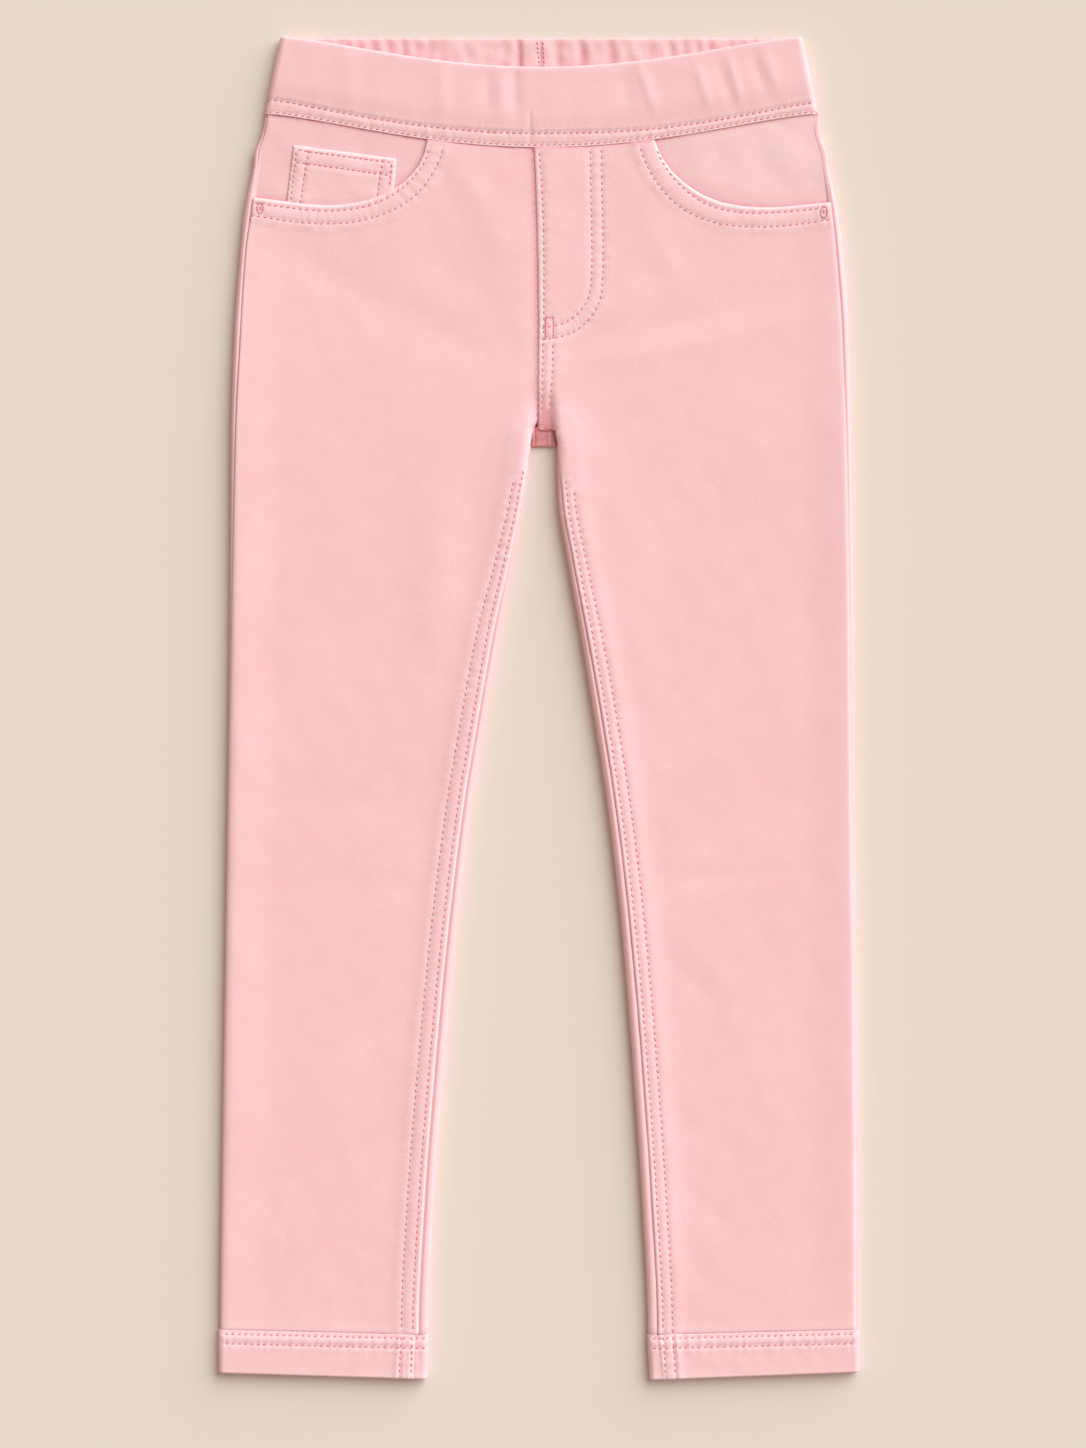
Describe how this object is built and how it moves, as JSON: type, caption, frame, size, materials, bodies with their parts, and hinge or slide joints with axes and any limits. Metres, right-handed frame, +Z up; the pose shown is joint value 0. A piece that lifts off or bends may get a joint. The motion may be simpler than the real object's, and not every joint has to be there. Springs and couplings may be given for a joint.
{
  "type": "pull-on jeggings laid flat",
  "caption": "Child's pull-on stretch-twill jeggings laid flat, front up, with an elastic waistband, scoop pockets, a mock fly and turned hems.",
  "frame": {"origin": "on the surface the garment lies on, under the middle of its box", "axes": "+Z up out of the surface, through the front of the garment; +Y from the hems to the waist; +X to the wearer's left"},
  "size_m": [0.3338, 0.6986, 0.0072],
  "materials": {
    "pink_twill": "brushed stretch twill, matt with a soft nap",
    "pink_thread": "spun topstitching thread, a little darker than the cloth"
  },
  "bodies": {
    "root": {"waistband": "pink_twill", "front_right": "pink_twill", "front_left": "pink_twill", "pocket_facing_right": "pink_twill", "pocket_facing_left": "pink_twill", "coin_pocket": "pink_twill", "back_right": "pink_twill", "back_left": "pink_twill", "yoke_right": "pink_twill", "yoke_left": "pink_twill", "hem_right": "pink_twill", "hem_left": "pink_twill"}
  },
  "joints": []
}
